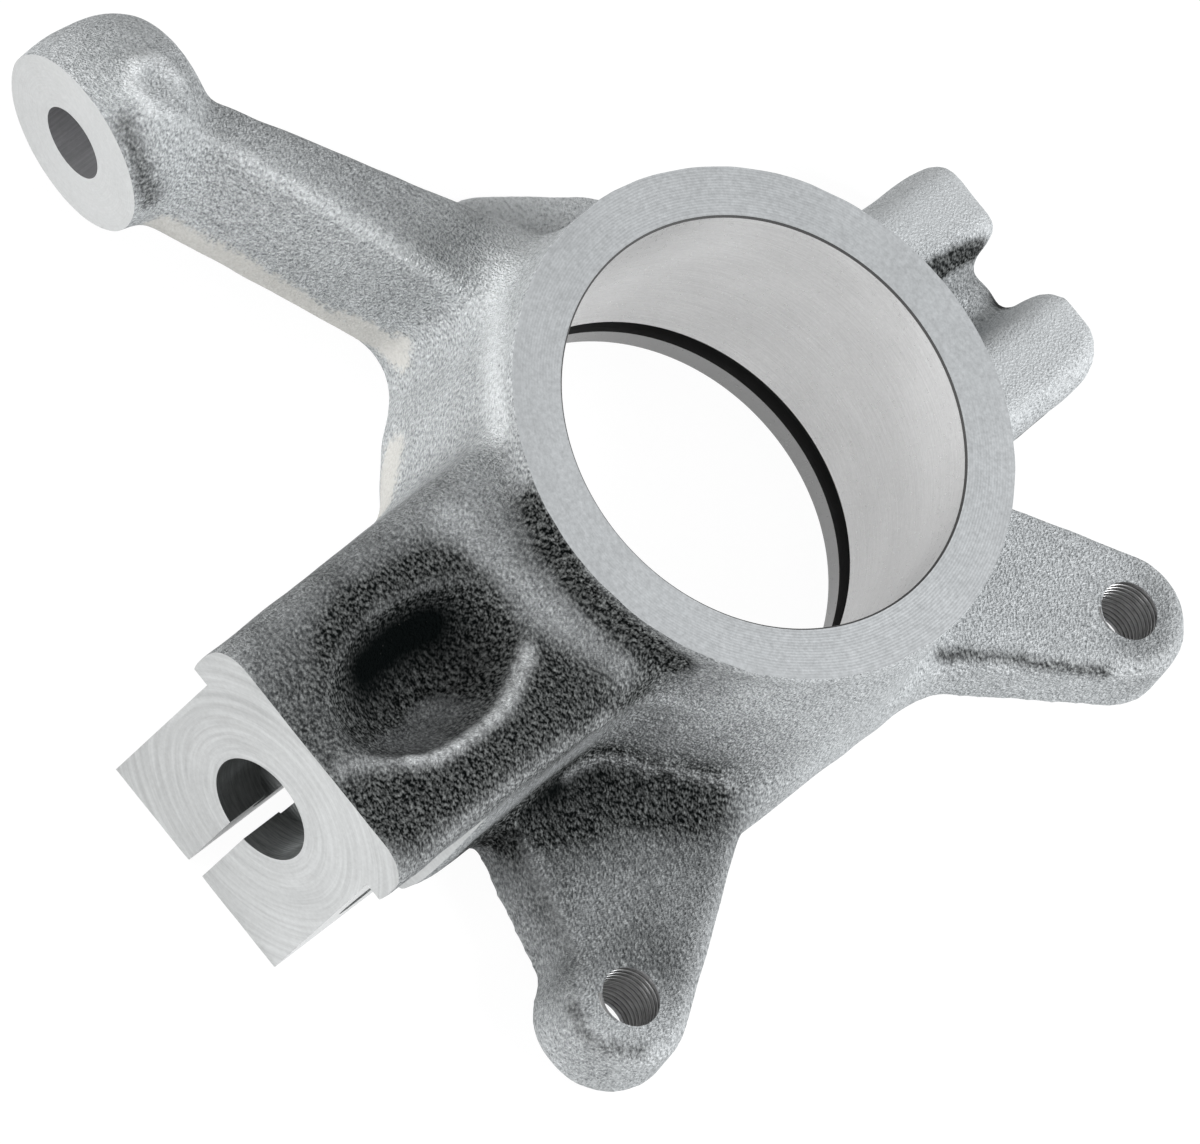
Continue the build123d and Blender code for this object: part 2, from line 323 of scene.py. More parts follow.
@dataclass(frozen=True)
class CastSkin:
    """Shot-blasted skin of the casting, with painted shade in its corners and painted highlights on its
    edges and grains.

    Attributes:
        clean: Colours of the pits and the peaks where the blast has cleaned the skin.
        scaled_and_shaded: Colours of the pits and the peaks where dark oxide skin is left or shade is
            painted.
        worn_and_highlight: Colour of rubbed edges and of painted highlights on edges and ridges.
        land: Colour of trimmed flash and ground spots.
        grain: Size of one blasted dimple in metres.
        depth: Depth of the dimples in metres.
        light_side_shift: Way across a grain, in metres, from its painted highlight side to its painted
            shade side.
        blotch: Size of the slow patches in metres.
        hollow: Cavity in millimetres at which painted shade starts to gather in concave corners, and
            where it is full.
        edge: Cavity in millimetres at which a convex edge starts to be rubbed and painted with a
            highlight, and where it is full.
        patches: Strength of the slow patches in the scale.
        speckle: Weights of the painted grain emboss (a painted highlight and painted shade on each
            grain), coarse and fine grain where dark oxide skin or painted shade is.
        sanding: Weights of the painted grain emboss and fine grain where the skin is clean.
        deep: Amount of darkening, past 1, over which the skin goes black, a painted shadow in the
            deepest corners and creases.
        shine: Share of metal.
    """

    clean: tuple[Point, Point] = ((0.13, 0.14, 0.145), (0.66, 0.68, 0.69))
    scaled_and_shaded: tuple[Point, Point] = ((0.003, 0.004, 0.004), (0.38, 0.395, 0.39))
    worn_and_highlight: Point = (0.74, 0.76, 0.77)
    land: Point = (0.61, 0.595, 0.56)
    grain: float = 0.78 * MM
    depth: float = 0.55 * MM
    light_side_shift: Point = (0.10 * MM, -0.16 * MM, -0.08 * MM)
    blotch: float = 12 * MM
    hollow: tuple[float, float] = (0.1, 1.4)
    edge: tuple[float, float] = (-0.4, -1.5)
    patches: float = 0.45
    speckle: Point = (3.4, 1.2, 1.4)
    sanding: tuple[float, float] = (1.9, 2.2)
    deep: float = 0.45
    shine: float = 0.25

    def material(self) -> bpy.types.Material:
        """Builds the material."""
        s = Shader(Zone.CAST.value)
        coarse = s.noise(self.grain, detail=1.5, rough=0.6)
        fine = s.noise(self.grain * 0.5, detail=1.0, rough=0.6)
        # Noise shifted along the light's way: its difference from the plain noise paints a highlight on
        # one side of each grain and shade on the other.
        light_side_shift = s.noise(self.grain, detail=1.5, rough=0.6, place=s.shifted(self.light_side_shift))
        broad = s.noise(self.blotch, detail=3.0)
        cavity = s.attribute("cavity")
        # Darkening: the marks, painted shade in concave corners from the cavity, and slow random
        # patches.
        scale = s.attribute("scale") + cavity.step(*self.hollow) * 0.3 + broad.swing(self.patches)
        # emboss weighs the painted highlight and shade on each grain.
        emboss, dots, dust = self.speckle
        speck_and_emboss = (light_side_shift - coarse) * emboss + coarse.swing(dots) + fine.swing(dust)
        ragged = coarse.swing(1.1) + broad.swing(0.6)
        bare = (s.attribute("bare") + ragged * 0.9).step(0.25, 0.75)
        # Rubbed wear plus a painted highlight on convex edges and on the marks that carry it.
        rub_and_highlight = (cavity.step(*self.edge) * 0.3 + s.attribute("rub_and_highlight")) * (0.7 + speck_and_emboss * 0.6)
        # Below zero the darkening measure makes the skin cleaner, lighter and less grainy: painted light
        # on the rear web, the tongue and the hollow's lit side.
        smooth = (scale * -1.0).clamp()
        # Fine grain plus the painted highlight and shade of each grain, for the clean skin.
        sand_and_emboss = (light_side_shift - coarse) * self.sanding[0] + fine.swing(self.sanding[1])
        clean = s.mix((sand_and_emboss * (0.78 - smooth * 0.58) + 0.56 + smooth * 0.12).clamp(), *self.clean)
        scaled_and_shaded = s.mix((speck_and_emboss * 0.75 + 0.26).clamp() ** 1.45, *self.scaled_and_shaded)
        base = s.mix(scale.clamp(), clean, scaled_and_shaded)
        # Past 1 the skin is painted black: painted shadow in the deepest corners and creases.
        base = s.mix((scale * self.deep - self.deep).clamp(), base, self.scaled_and_shaded[0])
        # The rubbed colour, which is also a painted highlight on edges and ridges.
        base = s.mix((rub_and_highlight * 0.9).clamp(), base, self.worn_and_highlight)
        base = s.mix(bare * 0.75, base, self.land)
        height = coarse * (scale.clamp() * 0.4 + 0.6) * self.depth + fine * (0.6 * self.depth)
        height = height * (1.0 - bare * 0.65) * (1.0 - smooth * 0.5)
        rough = (0.55 - rub_and_highlight * 0.12 - bare * 0.1).clamp()
        return s.finish(base, rough, self.shine, s.bump(height, 1.0), specular=0.0)


class Lay(Enum):
    """Direction in which a tool has left its fine lines."""

    ROUND = "rings about an axis"
    ALONG = "lines along the feed"


@dataclass(frozen=True)
class ToolFinish:
    """Bright surface that a cutting tool has left.

    Attributes:
        zone: Surface that takes the finish.
        colour: Colour of the bright metal.
        roughness: Roughness of the metal.
        centre: Point that the tool's rings run around.
        along: Axis that the rings run about: 0 for X, 1 for Y, 2 for Z.
        lay: Direction of the lines.
        pitch: Distance between lines in metres.
        depth: Depth of the lines in metres.
        swirl: Strength of the visible lines in the colour.
        mottle: Strength of the fine speckle in the colour.
        lip: Height along the axis in metres below which the surface is duller, or 0.
        metallic: Share of metal.
    """

    zone: Zone
    colour: Point
    roughness: float = 0.38
    centre: Point = (0.0, 0.0, 0.0)
    along: int = 2
    lay: Lay = Lay.ROUND
    pitch: float = 0.45 * MM
    depth: float = 0.006 * MM
    swirl: float = 0.10
    mottle: float = 0.20
    lip: float = 0.0
    metallic: float = 0.75

    def material(self) -> bpy.types.Material:
        """Builds the material."""
        s = Shader(self.zone.value)
        angle, radius, height = s.around(self.centre, self.along)
        across, round_length = (radius, 1.2) if self.lay is Lay.ROUND else (height, 0.5)
        wander = s.noise(9 * MM) * (0.5 * MM)
        wave = ((across + wander) * (math.tau / self.pitch)).sin()
        lines = s.streaks(angle, across, (round_length, self.pitch))
        scratch = s.streaks(angle * 0.02 + across, radius + height, (0.4 * MM, 9 * MM))
        mottle = s.noise(0.7 * MM, detail=2.0, rough=0.65)
        cloud = s.noise(14 * MM, detail=3.0)
        tone = lines.swing(self.swirl) + scratch.swing(0.10)
        tone = tone + mottle.swing(self.mottle) + cloud.swing(0.16)
        light, dark, dull = (
            tuple(min(1.0, part * share) for part in self.colour) for share in (1.25, 0.68, 0.45)
        )
        base = s.mix((tone * 2.2 + 0.5).clamp(), dark, light)
        if self.lip:
            base = s.mix(height.step(self.lip + 0.2 * MM, self.lip), base, dull)
        relief = wave * self.depth + lines * (1.6 * self.depth) + mottle * self.depth
        rough = (mottle * 0.16 + self.roughness - 0.08).clamp()
        return s.finish(base, rough, self.metallic, s.bump(relief, 0.9))


@dataclass(frozen=True)
class Mark:
    """Line or spot on the cast skin that differs from the rest.

    Attributes:
        path: Points near the line in millimetres, or one for a spot. The skin nearest to them counts.
        half_width: Distance in millimetres at which the mark has faded.
        height: Height in millimetres, below zero for a groove.
        bare: Share of trimmed or ground metal.
        rub_and_highlight: Share of rubbed skin and painted highlight.
        scale: Share of dark oxide skin and painted shade, below zero for a cleaner, lighter place.
    """

    path: tuple[Point, ...]
    half_width: float
    height: float = 0.0
    bare: float = 0.0
    rub_and_highlight: float = 0.0
    scale: float = 0.0

    def reach(self, points: np.ndarray) -> np.ndarray:
        """How strongly the mark holds at each point.

        Args:
            points: Points in metres, one a row.

        Returns:
            Values from 0 to 1.
        """
        line = np.array(self.path) * MM
        stops = [line[:1]]
        for start, end in zip(line[:-1], line[1:]):
            count = max(2, int(np.linalg.norm(end - start) / MM))
            stops.append(start + np.linspace(0.0, 1.0, count)[1:, None] * (end - start))
        best = np.full(len(points), np.inf)
        for stop in np.concatenate(stops):
            nearest = points[np.argmin(np.linalg.norm(points - stop, axis=1))]
            best = np.minimum(best, np.linalg.norm(points - nearest, axis=1))
        return np.exp(-((best / (self.half_width * MM)) ** 2))


@dataclass
class Hole:
    """Round cut into the casting.

    Attributes:
        start: Point on the axis outside the metal, in millimetres.
        direction: Direction of the cut.
        profile: Distances along the axis and radii, in millimetres, from mouth to end.
        zone: Finish of the wall.
        sides: Number of sides of the round.
    """

    start: Point
    direction: Point
    profile: tuple[tuple[float, float], ...]
    zone: Zone
    sides: int = 64

    @classmethod
    def straight(
        cls, start: Point, direction: Point, radius: float, length: float, zone: Zone, sides: int = 64
    ) -> "Hole":
        """Hole of one radius over its whole length, both in millimetres."""
        return cls(start, direction, ((0, radius), (length, radius)), zone, sides)

    def cutter(self) -> bpy.types.Object:
        """Closed solid of the cut, turned about the hole's axis."""
        axis = Vector(self.direction).normalized()
        turn = axis.to_track_quat("Z", "X").to_matrix()
        shape = bmesh.new()
        rings = []
        for depth, radius in self.profile:
            ring = []
            for index in range(self.sides):
                angle = math.tau * index / self.sides
                local = Vector((radius * math.cos(angle), radius * math.sin(angle), depth))
                ring.append(shape.verts.new((Vector(self.start) + turn @ local) * MM))
            rings.append(ring)
        for low, high in zip(rings[:-1], rings[1:]):
            for index in range(self.sides):
                after = (index + 1) % self.sides
                shape.faces.new((low[index], low[after], high[after], high[index]))
        shape.faces.new(rings[0][::-1])
        shape.faces.new(rings[-1])
        return close_shape(shape, "hole_cutter", self.zone)


@dataclass
class Slab:
    """Straight cut with a flat face, such as a milling cutter's.

    Attributes:
        low: Lowest corner in millimetres.
        high: Highest corner in millimetres.
        zone: Finish of the faces.
        round_edge: Radius of the cutter's own edge along X in millimetres.
    """

    low: Point
    high: Point
    zone: Zone
    round_edge: float = 0.0

    def cutter(self) -> bpy.types.Object:
        """Closed solid of the cut."""
        shape = bmesh.new()
        bmesh.ops.create_cube(shape, size=1.0)
        size = [b - a for a, b in zip(self.low, self.high)]
        middle = [(a + b) / 2 for a, b in zip(self.low, self.high)]
        for vertex in shape.verts:
            vertex.co = Vector((vertex.co[i] * size[i] + middle[i]) * MM for i in range(3))
        if self.round_edge:
            top = self.high[1] * MM - TOLERANCE
            edges = [e for e in shape.edges if all(v.co.y > top for v in e.verts)]
            edges = [e for e in edges if abs(e.verts[0].co.x - e.verts[1].co.x) > MM]
            bmesh.ops.bevel(
                shape, geom=edges, offset=self.round_edge * MM, segments=8, profile=0.5, affect="EDGES"
            )
        return close_shape(shape, "slab_cutter", self.zone)


def stand(name: str, data: bpy.types.ID) -> bpy.types.Object:
    """Makes an object of a mesh, a camera or a lamp and puts it in the scene."""
    item = bpy.data.objects.new(name, data)
    bpy.context.scene.collection.objects.link(item)
    return item


def close_shape(shape: bmesh.types.BMesh, name: str, zone: Zone) -> bpy.types.Object:
    """Turns a bmesh into a linked object with one material slot.

    Args:
        shape: Closed shape, in metres.
        name: Name of the object.
        zone: Finish that its faces carry.

    Returns:
        The new object.
    """
    bmesh.ops.recalc_face_normals(shape, faces=shape.faces)
    mesh = bpy.data.meshes.new(name)
    shape.to_mesh(mesh)
    shape.free()
    mesh.materials.append(bpy.data.materials[zone.value])
    return stand(name, mesh)


def settle(piece: bpy.types.Object) -> None:
    """Applies every modifier of a piece and keeps the result as its plain mesh."""
    graph = bpy.context.evaluated_depsgraph_get()
    mesh = bpy.data.meshes.new_from_object(piece.evaluated_get(graph))
    old = piece.data
    piece.modifiers.clear()
    piece.data = mesh
    bpy.data.meshes.remove(old)


def drop(piece: bpy.types.Object) -> None:
    """Removes an object and its mesh."""
    mesh = piece.data
    bpy.data.objects.remove(piece)
    bpy.data.meshes.remove(mesh)


@dataclass(frozen=True)
class Plane:
    """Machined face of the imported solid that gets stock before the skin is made.

    Attributes:
        point: Point of the face in millimetres.
        normal: Outward normal.
    """

    point: Point
    normal: Point

    def holds(self, face: bmesh.types.BMFace) -> bool:
        """Whether a face of the solid lies in this plane."""
        normal = Vector(self.normal).normalized()
        gap = (face.calc_center_median() - Vector(self.point) * MM).dot(normal)
        return abs(gap) < 2 * TOLERANCE and face.normal.dot(normal) > 0.999


class Net:
    """Points of a mesh of quads as arrays, with their neighbours and faces."""

    def __init__(self, mesh: bpy.types.Mesh) -> None:
        """Reads a mesh.

        Args:
            mesh: Mesh whose faces all have four corners.
        """
        self.count = len(mesh.vertices)
        self.place = self.read(mesh.vertices, "co", 3, np.float64)
        self.edges = self.read(mesh.edges, "vertices", 2, np.int64)
        self.quads = self.read(mesh.loops, "vertex_index", 1, np.int64).reshape(-1, 4)
        self.degree = np.bincount(self.edges.ravel(), minlength=self.count)[:, None]

    @staticmethod
    def read(items: Any, name: str, width: int, kind: type) -> np.ndarray:
        """Reads one property of many items, one item a row."""
        values = np.empty(len(items) * width, dtype=kind)
        items.foreach_get(name, values)
        return values.reshape(-1, width)

    def mean(self, values: np.ndarray) -> np.ndarray:
        """Mean of the neighbours' values at each point."""
        total = np.empty_like(values)
        start, end = self.edges.T
        for axis in range(values.shape[1]):
            total[:, axis] = np.bincount(start, values[end, axis], self.count)
            total[:, axis] += np.bincount(end, values[start, axis], self.count)
        return total / self.degree

    def normals(self, points: np.ndarray) -> np.ndarray:
        """Normals at the given places of the points, from the faces around them."""
        first = points[self.quads[:, 2]] - points[self.quads[:, 0]]
        second = points[self.quads[:, 3]] - points[self.quads[:, 1]]
        face = np.cross(first, second)
        total = np.zeros_like(points)
        for column in range(4):
            for axis in range(3):
                total[:, axis] += np.bincount(self.quads[:, column], face[:, axis], self.count)
        return total / np.maximum(np.linalg.norm(total, axis=1, keepdims=True), 1e-12)


@dataclass
class Skin:
    """Rough casting before machining.

    Attributes:
        voxel: Cell size of the remesh in metres.
        stock: Thickness of the machining stock in metres.
        fill_steps: Smoothing steps that run concave corners out.
        ease_steps: First smoothing steps that also round convex edges.
        settle_steps: Last smoothing steps that also take the voxel steps off convex edges.
        pull: Share of the way to the neighbours' mean that a step goes across the surface.
        slide: The same along the surface.
        planes: Machined faces that get stock.
        plugs: Holes that are filled before the remesh.
        blocks: Slits that are filled before the remesh.
        marks: Raised, trimmed, rubbed and darker places on the skin, with painted highlights and painted
            shade among them.
        mark_steps: Smoothing steps of the marks' heights.
        cavity_steps: Smoothing steps of the copy that the cavity is measured from.
        waviness: Height in metres of the skin's slow unevenness.
        wave_count: Number of waves that make it up.
        wave_lengths: Shortest and longest wave in millimetres.
    """

    voxel: float = 0.9 * MM
    stock: float = 2.4 * MM
    fill_steps: int = 46
    ease_steps: int = 5
    settle_steps: int = 4
    pull: float = 0.5
    slide: float = 0.3
    planes: tuple[Plane, ...] = ()
    plugs: tuple[Hole, ...] = ()
    blocks: tuple[Slab, ...] = ()
    marks: tuple[Mark, ...] = ()
    mark_steps: int = 3
    cavity_steps: int = 60
    waviness: float = 0.06 * MM
    wave_count: int = 28
    wave_lengths: tuple[float, float] = (6.0, 22.0)

    def build(self, source: bpy.types.Object) -> bpy.types.Object:
        """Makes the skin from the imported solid.

        Args:
            source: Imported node.

        Returns:
            A new closed object whose points carry the measures of its finish.
        """
        shape = bmesh.new()
        shape.from_mesh(source.data)
        bmesh.ops.remove_doubles(shape, verts=shape.verts, dist=0.1 * TOLERANCE)
        for plane in self.planes:
            self.add_stock(shape, plane)
        blank = close_shape(shape, "casting_blank", Zone.CAST)
        for part in (*self.plugs, *self.blocks):
            self.join(blank, part.cutter())
        remesh = blank.modifiers.new("skin", "REMESH")
        remesh.mode = "VOXEL"
        remesh.voxel_size = self.voxel
        remesh.use_smooth_shade = True
        settle(blank)
        self.relax(blank)
        return blank

    def add_stock(self, shape: bmesh.types.BMesh, plane: Plane) -> None:
        """Raises a machined face by the stock's thickness."""
        shape.normal_update()
        faces = [face for face in shape.faces if plane.holds(face)]
        made = bmesh.ops.extrude_face_region(shape, geom=faces)
        moved = [item for item in made["geom"] if isinstance(item, bmesh.types.BMVert)]
        bmesh.ops.translate(shape, verts=moved, vec=Vector(plane.normal).normalized() * self.stock)
        bmesh.ops.delete(shape, geom=[face for face in faces if face.is_valid], context="FACES_ONLY")

    def join(self, blank: bpy.types.Object, part: bpy.types.Object) -> None:
        """Puts another closed shell into the blank, for the remesh to unite."""
        shape = bmesh.new()
        shape.from_mesh(blank.data)
        shape.from_mesh(part.data)
        shape.to_mesh(blank.data)
        shape.free()
        drop(part)

    def relax(self, piece: bpy.types.Object) -> None:
        """Runs concave corners out, eases edges, adds the marks and stores the finish measures."""
        mesh = piece.data
        net = Net(mesh)
        place = net.place
        for step in range(self.fill_steps):
            way = net.mean(place) - place
            outward = net.normals(place)
            rise = np.einsum("ij,ij->i", way, outward)
            easing = step < self.ease_steps or step >= self.fill_steps - self.settle_steps
            share = np.where(rise > 0, self.pull, self.pull if easing else 0.0)
            sideways = way - rise[:, None] * outward
            place = place + share[:, None] * rise[:, None] * outward + self.slide * sideways
        outward = net.normals(place)
        measures = {name: np.zeros(net.count) for name in MEASURES}
        raised = np.zeros((net.count, 1))
        for mark in self.marks:
            reach = mark.reach(place)
            raised[:, 0] += mark.height * MM * reach
            measures["scale"] += mark.scale * reach
            for name, share in (("bare", mark.bare), ("rub_and_highlight", mark.rub_and_highlight)):
                measures[name] = np.maximum(measures[name], share * reach)
        for _ in range(self.mark_steps):
            raised = net.mean(raised)
        place = place + (self.waves(place)[:, None] + raised) * outward
        soft = place.copy()
        for _ in range(self.cavity_steps):
            soft = soft + 0.6 * (net.mean(soft) - soft)
        # Cavity is above zero in concave places and below zero on convex edges; the material paints
        # shade into the first and highlights onto the second.
        measures["cavity"] = np.einsum("ij,ij->i", soft - place, outward) / MM
        mesh.vertices.foreach_set("co", place.ravel())
        for name, values in measures.items():
            store = mesh.attributes.new(name, "FLOAT", "POINT")
            store.data.foreach_set("value", values.astype(np.float32))
        mesh.update()

    def waves(self, points: np.ndarray) -> np.ndarray:
        """Slow unevenness of the sand mould at each point, in metres."""
        chance = np.random.default_rng(11)
        total = np.zeros(len(points))
        for _ in range(self.wave_count):
            way = chance.normal(size=3)
            way /= np.linalg.norm(way)
            length = chance.uniform(*self.wave_lengths) * MM
            total += np.sin(points @ way * (math.tau / length) + chance.uniform(0.0, math.tau))
        return total * self.waviness * math.sqrt(2 / self.wave_count)


@dataclass
class Threads:
    """Fine threads in the two tapped ears.

    Attributes:
        centres: Middle of each hole at its inboard end, in millimetres.
        pitch: Pitch in millimetres.
        crest: Radius of the crests in millimetres.
        rise: Height of one thread's triangle in millimetres.
        depth: Threaded depth in millimetres.
        steps: Points in one turn.
    """

    centres: tuple[Point, ...]
    pitch: float = 1.25
    crest: float = 5.15
    rise: float = 0.75
    depth: float = 14.2
    steps: int = 40

    def tree(self, material: bpy.types.Material) -> bpy.types.GeometryNodeTree:
        """Node tree that winds one triangular thread at every point of its input.

        Args:
            material: Finish of the threads.

        Returns:
            The tree, with its sizes as named inputs.
        """
        tree = bpy.data.node_groups.new("wind_thread", "GeometryNodeTree")
        face = tree.interface
        face.new_socket("Geometry", in_out="INPUT", socket_type="NodeSocketGeometry")
        for name in ("Radius", "Rise", "Height", "Turns"):
            face.new_socket(name, in_out="INPUT", socket_type="NodeSocketFloat")
        face.new_socket("Geometry", in_out="OUTPUT", socket_type="NodeSocketGeometry")
        kinds = (
            "NodeGroupInput",
            "NodeGroupOutput",
            "GeometryNodeCurveSpiral",
            "GeometryNodeSetCurveNormal",
            "GeometryNodeCurvePrimitiveCircle",
            "ShaderNodeMath",
            "GeometryNodeTransform",
            "GeometryNodeCurveToMesh",
            "GeometryNodeInstanceOnPoints",
            "GeometryNodeRealizeInstances",
            "GeometryNodeSetMaterial",
        )
        inlet, outlet, helix, upright, profile, third, turned, sweep, spread, real, dress = (
            tree.nodes.new(kind) for kind in kinds
        )
        helix.inputs["Resolution"].default_value = self.steps
        upright.mode = "Z_UP"
        profile.inputs["Resolution"].default_value = 3
        third.operation = "MULTIPLY"
        third.inputs[1].default_value = 2 / 3
        turned.inputs["Rotation"].default_value = (0.0, 0.0, math.pi)
        sweep.inputs["Fill Caps"].default_value = True
        dress.inputs["Material"].default_value = material
        wires = (
            (inlet, "Turns", helix, "Rotations"),
            (inlet, "Radius", helix, "Start Radius"),
            (inlet, "Radius", helix, "End Radius"),
            (inlet, "Height", helix, "Height"),
            (helix, "Curve", upright, "Curve"),
            (inlet, "Rise", third, 0),
            (third, 0, profile, "Radius"),
            (profile, "Curve", turned, "Geometry"),
            (upright, "Curve", sweep, "Curve"),
            (turned, "Geometry", sweep, "Profile Curve"),
            (inlet, "Geometry", spread, "Points"),
            (sweep, "Mesh", spread, "Instance"),
            (spread, "Instances", real, "Geometry"),
            (real, "Geometry", dress, "Geometry"),
            (dress, "Geometry", outlet, "Geometry"),
        )
        for source, leaving, target, entering in wires:
            tree.links.new(source.outputs[leaving], target.inputs[entering])
        return tree

    def build(self, material: bpy.types.Material) -> bpy.types.Object:
        """Winds the threads and returns them as one plain mesh.

        Args:
            material: Finish of the threads.

        Returns:
            The new object.
        """
        mesh = bpy.data.meshes.new("ear_threads")
        mesh.from_pydata([[c * MM for c in centre] for centre in self.centres], [], [])
        piece = stand("ear_threads", mesh)
        modifier = piece.modifiers.new("threads", "NODES")
        modifier.node_group = self.tree(material)
        sizes = {
            "Radius": (self.crest + self.rise * 2 / 3) * MM,
            "Rise": self.rise * MM,
            "Height": self.depth * MM,
            "Turns": self.depth / self.pitch,
        }
        for item in modifier.node_group.interface.items_tree:
            if item.in_out == "INPUT" and item.name in sizes:
                modifier[item.identifier] = sizes[item.name]
        piece.update_tag()
        settle(piece)
        return piece


@dataclass
class Knuckle:
    """The whole steering knuckle, with the sizes of its machined features in millimetres.

    Attributes:
        ring_depth: Distance between the ring's two faces.
        rim_radius, rim_height: Cast edge around the turned ring face.
        bore_radius, bore_chamfer: Bearing bore and its mouth.
        lip_width, groove_width, groove_radius: Lip and circlip groove at the bore's inboard end.
        clamp_x, clamp_y, clamp_width: Middle, plane and width of the clamp foot.
        flat_depth, flat_rise, flat_corner: Height, length and end radius of the foot's flats.
        stud_radius, stud_height, stud_depth: Ball-joint stud hole.
        slit_width, slit_length: Clamp slit.
        pinch_radius, pinch_height, pinch_rise: Pinch-bolt hole, and its distance from the foot.
        ear_x, ear_ys, ear_front: Places of the ear holes and height of the ears' face.
        thread_radius, thread_eye, thread_lead: Tapped hole, its mouth and the cone between them.
        boss, boss_lean: Middle of the boss's machined face, and its axis's lean in degrees.
        boss_length, boss_hole: Distance from that face to the nut seat, and the hole's radius.
        nut_seat: Radius and depth of the nut seat's cutter.
        arm_front, steer_front: Heights of the lower arm's and the steering arm's faces.
        tongue_x, tongue_width: Middle and width of the strut tongue.
        strut_radius, strut_height, strut_ys: The tongue's two cross holes.
        wide: Radii of the cutters for the ring's front and back, the boss and the ears.
        wall: Metal that a filled hole has beyond its radius.
        proud: Distance that a filled hole reaches past its machined face, into the stock.
        short: Distance that other fillings stay behind the cast face.
        reach: Distance that cutters start outside the metal.
    """

    ring_depth: float = 52.8
    rim_radius: float = 44.9
    rim_height: float = 51.6
    bore_radius: float = 36.0
    lip_width: float = 4.2
    groove_width: float = 4.2
    groove_radius: float = 38.4
    bore_chamfer: float = 0.35
    clamp_x: float = -0.8
    clamp_y: float = -105.5
    clamp_width: float = 41.0
    flat_depth: float = 36.5
    flat_rise: float = 28.0
    flat_corner: float = 3.0
    stud_radius: float = 9.5
    stud_height: float = 25.9
    stud_depth: float = 33.0
    slit_width: float = 3.4
    slit_length: float = 35.0
    pinch_radius: float = 5.1
    pinch_height: float = 14.0
    pinch_rise: float = 13.0
    ear_x: float = 59.2
    ear_ys: tuple[float, float] = (-64.8, 59.4)
    ear_front: float = 14.5
    thread_radius: float = 5.8
    thread_eye: float = 5.15
    thread_lead: float = 0.4
    boss: Point = (-105.4, -51.5, 23.4)
    boss_lean: tuple[float, float] = (6.1, 10.1)
    boss_length: float = 20.5
    boss_hole: float = 6.6
    nut_seat: tuple[float, float] = (10.0, 9.0)
    arm_front: float = 47.8
    steer_front: float = 37.5
    tongue_x: float = 2.5
    tongue_width: float = 45.0
    strut_radius: float = 5.1
    strut_height: float = 7.5
    strut_ys: tuple[float, float] = (52.0, 74.0)
    wide: tuple[float, float, float, float] = (60.0, 47.0, 22.0, 16.0)
    wall: float = 1.2
    proud: float = 1.8
    short: float = 0.1
    reach: float = 6.0

    def boss_axis(self) -> Vector:
        """Direction of the tie-rod hole, from its machined face into the boss."""
        x, z = (math.tan(math.radians(angle)) for angle in self.boss_lean)
        return Vector((x, 1.0, z)).normalized()

    def sides(self) -> tuple[float, float]:
        """Places of the clamp's two flats across the car."""
        half = self.clamp_width / 2
        return self.clamp_x - half, self.clamp_x + half

    def holes(self) -> list[Hole]:
        """Every round cut, from the bore to the bolt holes."""
        top, out, eye, lead = self.ring_depth, self.reach, self.thread_eye, self.thread_lead
        radius, chamfer = self.bore_radius, self.bore_chamfer
        half = self.clamp_width / 2
        side = self.tongue_width / 2 + out
        axis = self.boss_axis()
        bore = Hole.straight((0, 0, top + out), INWARD, radius, out + top + out, Zone.HONED, 192)
        cone = ((0, radius + 2 * chamfer), (3 * chamfer, radius - chamfer))
        # The mouth chamfer gets the groove's near-black finish, a painted shadow line at the bore's
        # edge.
        mouth = Hole((0, 0, top + chamfer), INWARD, cone, Zone.GROOVE_SHADE, 192)
        stud_start = (self.clamp_x, self.clamp_y - out, self.stud_height)
        stud = Hole.straight(stud_start, AXIS_Y, self.stud_radius, out + self.stud_depth, Zone.STUD, 96)
        pinch_start = (self.clamp_x - half - out, self.clamp_y + self.pinch_rise, self.pinch_height)
        pinch = Hole.straight(pinch_start, AXIS_X, self.pinch_radius, 2 * (half + out), Zone.STUD)
        rod_start = tuple(Vector(self.boss) - axis * out)
        rod_length = self.boss_length + 2 * out
        tie_rod = Hole.straight(rod_start, tuple(axis), self.boss_hole, rod_length, Zone.DRILLED, 80)
        strut = []
        for y in self.strut_ys:
            start = (self.tongue_x - side, y, self.strut_height)
            strut.append(Hole.straight(start, AXIS_X, self.strut_radius, 2 * side, Zone.DRILLED))
        tapped = (
            (0, eye),
            (out, eye),
            (out + lead, self.thread_radius),
            (out + self.ear_front - 2 * lead, self.thread_radius),
            (out + self.ear_front - lead, eye),
            (2 * out + self.ear_front, eye),
        )
        ears = [Hole((self.ear_x, y, -out), AXIS_Z, tapped, Zone.DRILLED) for y in self.ear_ys]
        return [bore, mouth, stud, pinch, tie_rod, *strut, *ears]

